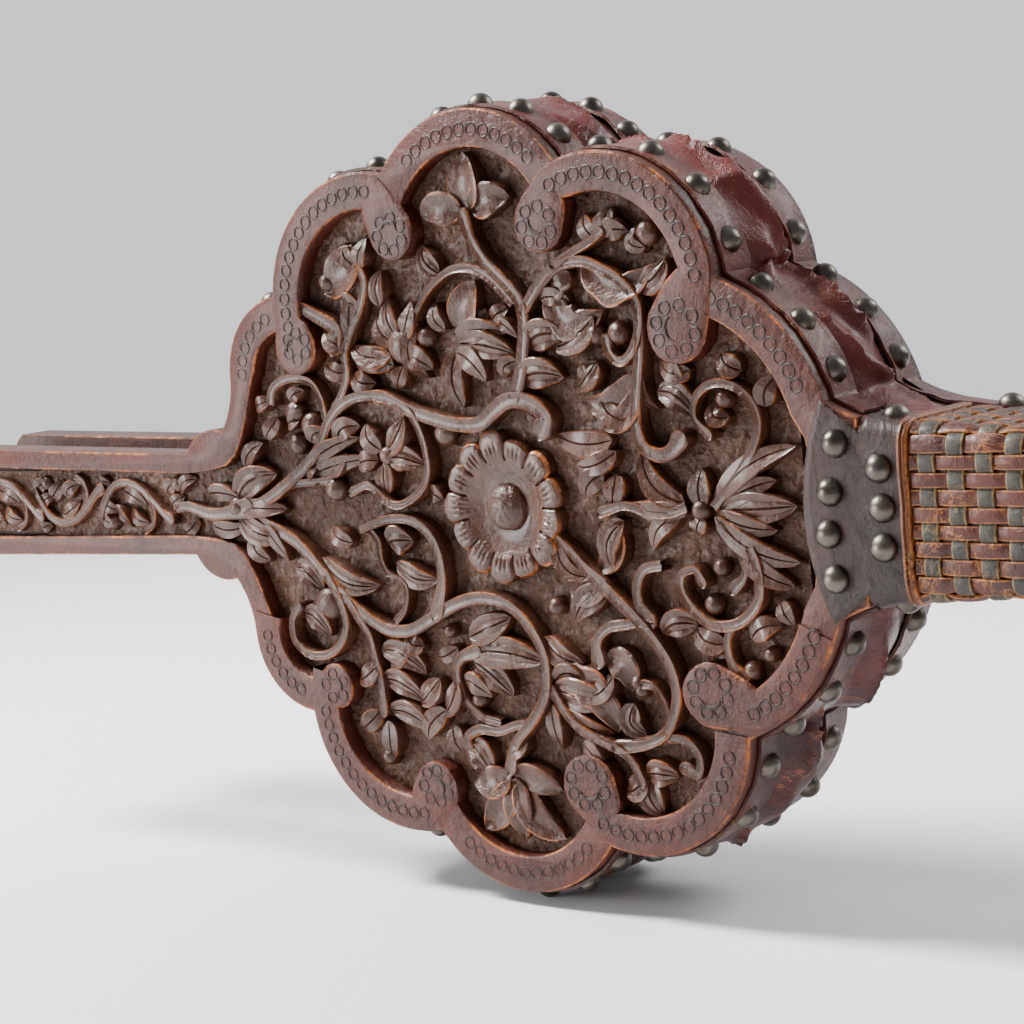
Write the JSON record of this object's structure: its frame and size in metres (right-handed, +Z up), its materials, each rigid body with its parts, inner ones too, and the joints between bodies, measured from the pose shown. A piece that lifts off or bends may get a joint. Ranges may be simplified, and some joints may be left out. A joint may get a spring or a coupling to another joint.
{
  "type": "hand bellows",
  "caption": "Hand bellows with lobed carved wooden boards, flat handles, studded leather gusset, plaited leather neck and tapered metal nozzle.",
  "frame": {"origin": "middle of the footprint, on the surface the bellows stand on with their boards on edge", "axes": "+X from the handles to the nozzle, +Y from the carved face to the back board, +Z up across the boards"},
  "size_m": [0.677, 0.0716, 0.2921],
  "materials": {
    "carved_walnut": "waxed, worn edges",
    "plain_walnut": "waxed",
    "ash_wood": "bare",
    "dark_leather": "polished, cracked at the edges",
    "gusset_leather": "supple, creased",
    "plaited_leather": "plaited strips",
    "binding_leather": "raw edges",
    "valve_leather": "undyed",
    "nail_metal": "darkened, polished domes",
    "tack_metal": "plain",
    "nozzle_metal": "blackened"
  },
  "bodies": {
    "base": {"back_board": "plain_walnut", "head_block": "plain_walnut", "plaited_cover": "plaited_leather", "cover_binding_rear": "binding_leather", "cover_binding_nose": "binding_leather", "hinge_patch_head": "dark_leather", "back_strip": "dark_leather", "leather_gusset": "gusset_leather", "back_rim_nails": "nail_metal", "patch_nails_head": "nail_metal", "neck_nails": "nail_metal", "patch_wing_nails": "nail_metal", "nozzle_flange": "nozzle_metal", "nozzle_pipe": "nozzle_metal", "nozzle_bead": "nozzle_metal", "flange_nails": "tack_metal", "valve_strap": "valve_leather", "valve_tacks": "tack_metal", "valve_thong": "valve_leather"},
    "front_leaf": {"front_board": "carved_walnut", "hinge_patch_leaf": "dark_leather", "front_strip": "dark_leather", "front_rim_nails": "nail_metal", "patch_nails_leaf": "nail_metal"},
    "rib": {"rib_hoop": "ash_wood"},
    "valve": {"valve_flap": "valve_leather", "valve_board": "ash_wood", "valve_rivets": "tack_metal"}
  },
  "joints": [
    {"name": "leaf_hinge", "type": "hinge", "parent": "base", "child": "front_leaf", "pos_m": [0.1385, -0.0302, 0.14605], "axis": [0, 0, 1], "range_deg": [0, 20], "deforming": ["leather_gusset"]},
    {"name": "rib_hinge", "type": "hinge", "parent": "base", "child": "rib", "pos_m": [0.1245, 0.0028, 0.14605], "axis": [0, 0, 1], "range_deg": [0, 10]},
    {"name": "valve_hinge", "type": "hinge", "parent": "base", "child": "valve", "pos_m": [-0.0285, 0.0155, 0.17805], "axis": [-1, 0, 0], "range_deg": [0, 16]}
  ],
  "couplings": [
    {"joint": "rib_hinge", "follows": "leaf_hinge", "ratio": 0.5}
  ]
}
